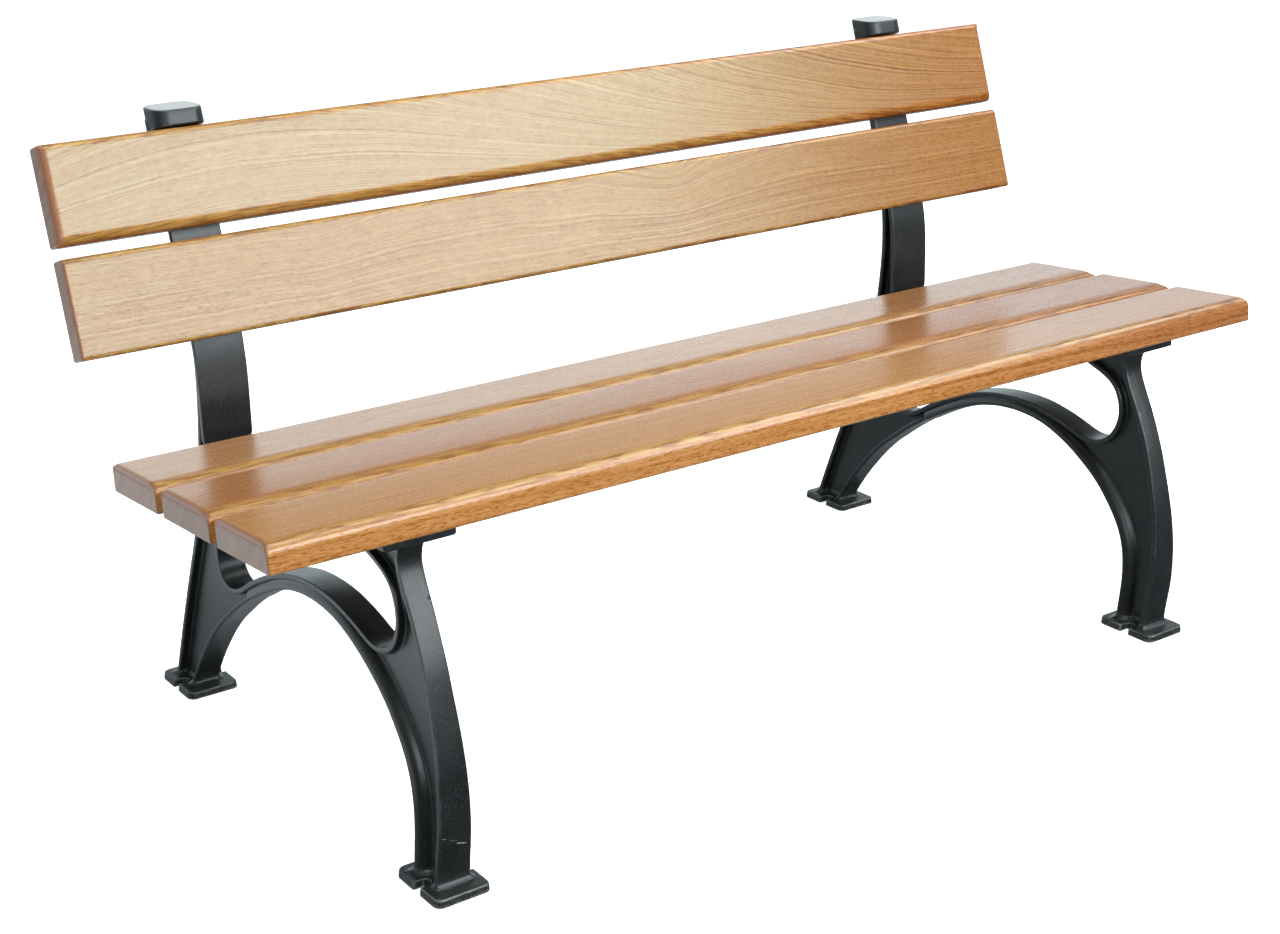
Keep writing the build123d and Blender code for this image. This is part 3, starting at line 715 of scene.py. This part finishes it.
def paint(name, seed, nicks=()):
    """Satin black paint over an as-cast iron skin; nicks are bare scratches (x, z to x, z, depth of colour)
    across the front of the leg."""
    mat, g, bsdf = new_material(name)
    coord = g.add("ShaderNodeTexCoord")
    pos = coord.outputs["Object"]
    off = (seed * 2.1, seed * 3.3, seed * 1.7)
    turn = g.add("ShaderNodeAttribute", attribute_name="turn").outputs["Fac"]
    skin = g.noise(g.place(pos, (430.0,) * 3, off), detail=3.0, rough=0.6)
    swell = g.noise(g.place(pos, (60.0,) * 3, off), detail=3.0)
    smear = g.noise(g.place(pos, (22.0,) * 3, off), detail=4.0, rough=0.6)
    x, y, z = g.split(pos)
    low = g.span(z, 0.006, 0.030, 1.0, 0.0)
    # convex edges are painted paler: worn paint, strongest near the floor, and along every edge a painted highlight
    # line
    edge = g.math("MULTIPLY", g.span(turn, 0.18, 0.65), g.span(smear, 0.42, 0.68, 0.25, 1.0))
    edge_wear_and_highlight = g.math("MULTIPLY", edge, g.math("MULTIPLY_ADD", low, 0.55, 0.20), clamp=True)
    dust = g.math("MULTIPLY", low, g.span(skin, 0.46, 0.66, 0.02, 0.42))
    dust = g.math("MULTIPLY", dust, g.span(swell, 0.40, 0.66, 0.25, 1.0))
    base = g.mix(g.span(smear, 0.3, 0.7), (0.0042, 0.0044, 0.0046, 1), (0.0075, 0.0077, 0.0078, 1))
    base = g.mix(g.span(skin, 0.50, 0.72), base, (0.020, 0.0205, 0.021, 1))
    base = g.mix(edge_wear_and_highlight, base, (0.16, 0.155, 0.15, 1))
    base = g.mix(dust, base, (0.11, 0.107, 0.10, 1))
    # the level top of the head is painted pale grey where it faces up, a painted reflection of the bright backdrop
    up = g.split(coord.outputs["Normal"])[2]
    # painted reflection: upward faces at the head's top height are mixed towards pale grey
    painted_head_top_sheen = g.math("MULTIPLY", g.math("MULTIPLY", g.span(z, 0.786, 0.792), g.span(up, 0.80, 0.98)), g.span(smear, 0.25, 0.60, 0.75, 1.0))
    base = g.mix(painted_head_top_sheen, base, (0.27, 0.258, 0.240, 1))
    face = g.span(y, -0.334, -0.330, 1.0, 0.0)
    for x0, z0, x1, z1, deep in nicks:
        long = math.hypot(x1 - x0, z1 - z0)
        u, v = (x1 - x0) / long, (z1 - z0) / long
        along = g.math("MULTIPLY_ADD", x, u, g.math("MULTIPLY_ADD", z, v, -u * x0 - v * z0))
        off_line = g.math("ABSOLUTE", g.math("MULTIPLY_ADD", x, -v, g.math("MULTIPLY_ADD", z, u, v * x0 - u * z0)))
        cut = g.math("MULTIPLY", g.span(off_line, 0.0003, 0.0010, 1.0, 0.0), g.span(along, 0.0, 0.003))
        cut = g.math("MULTIPLY", g.math("MULTIPLY", cut, g.span(along, 0.6 * long, long, 1.0, 0.0)), face)
        base = g.mix(g.math("MULTIPLY", cut, deep), base, (0.42, 0.41, 0.39, 1))
    g.feed(bsdf.inputs["Base Color"], base)
    rough = g.math("MULTIPLY_ADD", smear, 0.14, 0.27)
    rough = g.math("MULTIPLY_ADD", dust, 0.5, rough)
    g.feed(bsdf.inputs["Roughness"], rough)
    n = g.bump(swell, 0.07, 0.0012)
    g.feed(bsdf.inputs["Normal"], g.bump(skin, 0.34, 0.0005, n))
    bsdf.inputs["IOR"].default_value = 1.43
    return mat


def zinc(name):
    mat, g, bsdf = new_material(name)
    pos = g.add("ShaderNodeTexCoord").outputs["Object"]
    tone = g.noise(g.place(pos, (260.0,) * 3), detail=3.0)
    blot = g.noise(g.place(pos, (90.0,) * 3, (3, 1, 2)), detail=2.0)
    base = g.mix(g.span(tone, 0.35, 0.65), (0.46, 0.47, 0.49, 1), (0.62, 0.63, 0.64, 1))
    base = g.mix(g.span(blot, 0.52, 0.7, 0.0, 0.5), base, (0.55, 0.52, 0.44, 1))
    g.feed(bsdf.inputs["Base Color"], base)
    bsdf.inputs["Metallic"].default_value = 1.0
    g.feed(bsdf.inputs["Roughness"], g.math("MULTIPLY_ADD", tone, 0.22, 0.24))
    g.feed(bsdf.inputs["Normal"], g.bump(tone, 0.1, 0.0003))
    return mat


# ---------------------------------------------------------------------------
# Building
# ---------------------------------------------------------------------------
casting = make_casting(100000)
iron = [paint("black_paint_left", 1.0, ((0.0005, 0.0640, 0.0160, 0.0585, 0.60), (-0.0195, 0.0755, -0.0105, 0.0730, 0.20),
                                        (-0.009, 0.0705, 0.003, 0.0660, 0.10))),
        paint("black_paint_right", 4.0)]
for side, fx, mat in (("left", -FRAME_X, iron[0]), ("right", FRAME_X, iron[1])):
    ob = bpy.data.objects.new(f"{side}_end_casting", casting if side == "left" else casting.copy())
    bpy.context.collection.objects.link(ob)
    ob.data.materials.clear()
    ob.data.materials.append(mat)
    ob.location.x = fx * MM
    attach(ob, "root")
    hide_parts(f"{side}_end_frame")

seat_dir = (math.cos(SEAT_TILT), -math.sin(SEAT_TILT))
back_dir = (math.sin(BACK_LEAN), math.cos(BACK_LEAN))
TOP, NOSE, HEEL, UNDER = (21.0, 13.0, 7.6), (9.0, 8.0, 11.5), (0, 0, 5.0), (0, 0, 3.0)
BROWN, PALE, RUST, AMBER = (0.58, 0.225, 0.048), (0.59, 0.300, 0.074), (0.44, 0.150, 0.032), (0.60, 0.290, 0.058)
BOARDS = [
    # node, width, edges, end radii, index, grain with its strength and pitch, colours
    ("seat_slat_front", SEAT_W, (NOSE, HEEL, UNDER, UNDER), (8.0, 2.5, 2.2), 0, long_flow, (0.95, 0.45), 1.0,
     (0.545, 0.232, 0.060), (0.42, 0.155, 0.040), (0.60, 0.310, 0.085), BROWN),
    ("seat_slat_middle", SEAT_W, (TOP, HEEL, UNDER, UNDER), (8.0, 2.5, 2.2), 1, long_flow, (0.90, 0.42), 1.0,
     (0.45, 0.162, 0.036), (0.37, 0.112, 0.025), (0.56, 0.262, 0.064), BROWN),
    ("seat_slat_rear", SEAT_W, (TOP, HEEL, UNDER, UNDER), (8.0, 2.5, 2.2), 2, long_flow, (0.90, 0.42), 1.0,
     (0.49, 0.203, 0.050), (0.37, 0.134, 0.032), PALE, BROWN),
    ("back_slat_lower", BACK_W, ((0, 0, 5.0), (0, 0, 7.0), (0, 0, 6.0), (0, 0, 4.0)), (4.0, 4.0, 2.2), 0, curl_flow, (1.50, 1.40), 1.1,
     (0.425, 0.216, 0.047), (0.40, 0.153, 0.027), (0.52, 0.265, 0.050), RUST),
    ("back_slat_upper", BACK_W, ((0, 0, 14.0), (0, 0, 7.5), (0, 0, 6.0), (0, 0, 6.0)), (11.0, 4.0, 2.2), 1, sweep_flow, (1.42, 1.38), 0.95,
     (0.44, 0.250, 0.066), (0.40, 0.157, 0.028), AMBER, RUST),
]
GLOSS = {"seat_slat_middle": 1.43, "back_slat_lower": 1.47}  # the thinner coats
for k, (node, w, shapes, ends, i, flow, marks, pitch, left, right, rim, edge) in enumerate(BOARDS):
    if node.startswith("seat"):
        mid, across = seat_point(i * (SEAT_W + SEAT_GAP) + w / 2, SLAT_T / 2), seat_dir
    else:
        mid, across = back_point(i * (BACK_W + BACK_GAP) + w / 2, SLAT_T / 2), back_dir
    ob = make_slat(node + "_board", w, shapes, ends, mid, across, 3.7 * k)
    ob.data.materials.append(wood("varnished_" + node, 1.0 + k, flow, left, right, rim, edge, marks, pitch, GLOSS.get(node, 1.5)))
    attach(ob, "root")
    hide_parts(node)

steel = zinc("zinc_plate")
for name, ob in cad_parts.items():
    if name.endswith(("_screws", "_washers")):
        ob.data.materials.clear()
        ob.data.materials.append(steel)


# ---------------------------------------------------------------------------
# Floor, light and camera
# ---------------------------------------------------------------------------
def make_floor():
    me = bpy.data.meshes.new("floor")
    s = 40.0
    me.from_pydata([(-s, -s, 0), (s, -s, 0), (s, s, 0), (-s, s, 0)], [], [(0, 1, 2, 3)])
    ob = bpy.data.objects.new("floor", me)
    bpy.context.collection.objects.link(ob)
    mat, g, bsdf = new_material("pale_floor")
    pos = g.add("ShaderNodeTexCoord").outputs["Object"]
    tone = g.noise(g.place(pos, (1.5,) * 3), detail=3.0)
    g.feed(bsdf.inputs["Base Color"], g.mix(tone, (0.90, 0.90, 0.90, 1), (0.93, 0.93, 0.93, 1)))
    bsdf.inputs["Roughness"].default_value = 0.8
    bsdf.inputs["Specular IOR Level"].default_value = 0.2
    bsdf.inputs["Emission Color"].default_value = (1, 1, 1, 1)
    bsdf.inputs["Emission Strength"].default_value = 0.75
    # a pale wall all round, far off, joined to the floor by a cove
    rise = [(13.0 + 3.0 * math.sin(math.radians(a)), 3.0 - 3.0 * math.cos(math.radians(a))) for a in range(0, 91, 10)] + [(16.0, 16.0)]
    turns = [2.0 * math.pi * k / 72 for k in range(72)]
    wall = bpy.data.meshes.new("backdrop")
    wall.from_pydata([(r * math.cos(a), r * math.sin(a), h) for r, h in rise for a in turns], [],
                     [(i * 72 + k, (i + 1) * 72 + k, (i + 1) * 72 + (k + 1) % 72, i * 72 + (k + 1) % 72)
                      for i in range(len(rise) - 1) for k in range(72)])
    wall.shade_smooth()
    back = bpy.data.objects.new("backdrop", wall)
    bpy.context.collection.objects.link(back)
    for o in (ob, back):
        o.data.materials.append(mat)
        o.visible_diffuse = o.visible_glossy = o.visible_shadow = False


def make_light():
    world = bpy.data.worlds.new("studio")
    bpy.context.scene.world = world
    world.use_nodes = True
    g = Graph(world.node_tree)
    out = g.add("ShaderNodeOutputWorld")
    bg = g.add("ShaderNodeBackground")
    g.tree.links.new(bg.outputs[0], out.inputs[0])
    x, y, z = g.split(g.add("ShaderNodeTexCoord").outputs["Generated"])
    # a dim studio with a lit backdrop behind the object and a dark floor in front of it
    drop = g.math("MULTIPLY", g.span(y, 0.10, 0.85), g.span(z, 0.28, 0.42, 1.0, 0.0))
    level = g.math("MULTIPLY_ADD", g.math("MULTIPLY", drop, g.span(z, 0.10, 0.25, 1.3, 1.0)), 1.14, 0.45)
    ground = g.span(y, -0.20, 0.60, 0.18, 0.50)
    level = g.math("MULTIPLY_ADD", g.math("SUBTRACT", level, ground), g.span(z, -0.10, 0.04), ground)
    g.feed(bg.inputs["Strength"], level)
    bg.inputs["Color"].default_value = (0.86, 1.0, 1.05, 1)
    panel("softbox", (0.0, 0.0, 0.6), 15.0, 20.0, 4.0, (4.1, 2.0), 9.0)
    panel("high_panel", (0.0, -0.2, 0.45), 70.0, 48.0, 3.4, (3.0, 1.6), 6.0)
    panel("top_panel", (0.0, 0.0, 0.45), -25.0, 74.0, 2.8, (2.4, 1.8), 4.0)
    panel("floor_card", (-1.7, 0.85, 1.0), 0.0, -90.0, 0.996, (1.8, 2.3), 1.25)
    panel("left_panel", (-0.57, -0.25, 0.2), -34.0, 17.0, 2.4, (0.9, 1.2), 6.5)


def panel(name, aim, az, el, dist, size, glow):
    """A flat light of even brightness, aimed at a point; az from the front towards the right."""
    ob = bpy.data.objects.new(name, bpy.data.lights.new(name, "AREA"))
    bpy.context.collection.objects.link(ob)
    az, el, aim = math.radians(az), math.radians(el), Vector(aim)
    ob.location = aim + dist * Vector((math.sin(az) * math.cos(el), -math.cos(az) * math.cos(el), math.sin(el)))
    ob.rotation_euler = (aim - ob.location).to_track_quat("-Z", "Y").to_euler()
    ob.data.color = (0.92, 1.0, 1.04)
    ob.data.shape = "RECTANGLE"
    ob.data.size, ob.data.size_y = size
    ob.data.energy = glow * math.pi * size[0] * size[1]
    ob.visible_camera = False


def make_camera():
    yaw, pitch, roll = math.radians(35.08), math.radians(17.30), math.radians(1.15)
    fwd = Vector((math.sin(yaw) * math.cos(pitch), math.cos(yaw) * math.cos(pitch), -math.sin(pitch)))
    right = Vector((math.cos(yaw), -math.sin(yaw), 0))
    down = fwd.cross(right)
    r = math.cos(roll) * right + math.sin(roll) * down
    d = -math.sin(roll) * right + math.cos(roll) * down
    data = bpy.data.cameras.new("camera")
    cam = bpy.data.objects.new("camera", data)
    bpy.context.collection.objects.link(cam)
    cam.matrix_world = Matrix(((r.x, -d.x, -fwd.x, -1.5698), (r.y, -d.y, -fwd.y, -2.1527),
                               (r.z, -d.z, -fwd.z, 1.2268), (0, 0, 0, 1)))
    data.sensor_fit = "HORIZONTAL"
    data.sensor_width = 36.0
    data.lens = 2106.2 / 1280.0 * 36.0
    data.shift_y = (380.0 - 467.0) / 1280.0
    bpy.context.scene.camera = cam


make_floor()
make_light()
make_camera()

scene = bpy.context.scene
scene.view_settings.view_transform = "Standard"
scene.view_settings.look = "None"
scene.cycles.use_denoising = True
scene.cycles.denoiser = "OPENIMAGEDENOISE"
scene.cycles.denoising_input_passes = "RGB_ALBEDO_NORMAL"
scene.cycles.denoising_prefilter = "NONE"

bpy.context.view_layer.update()
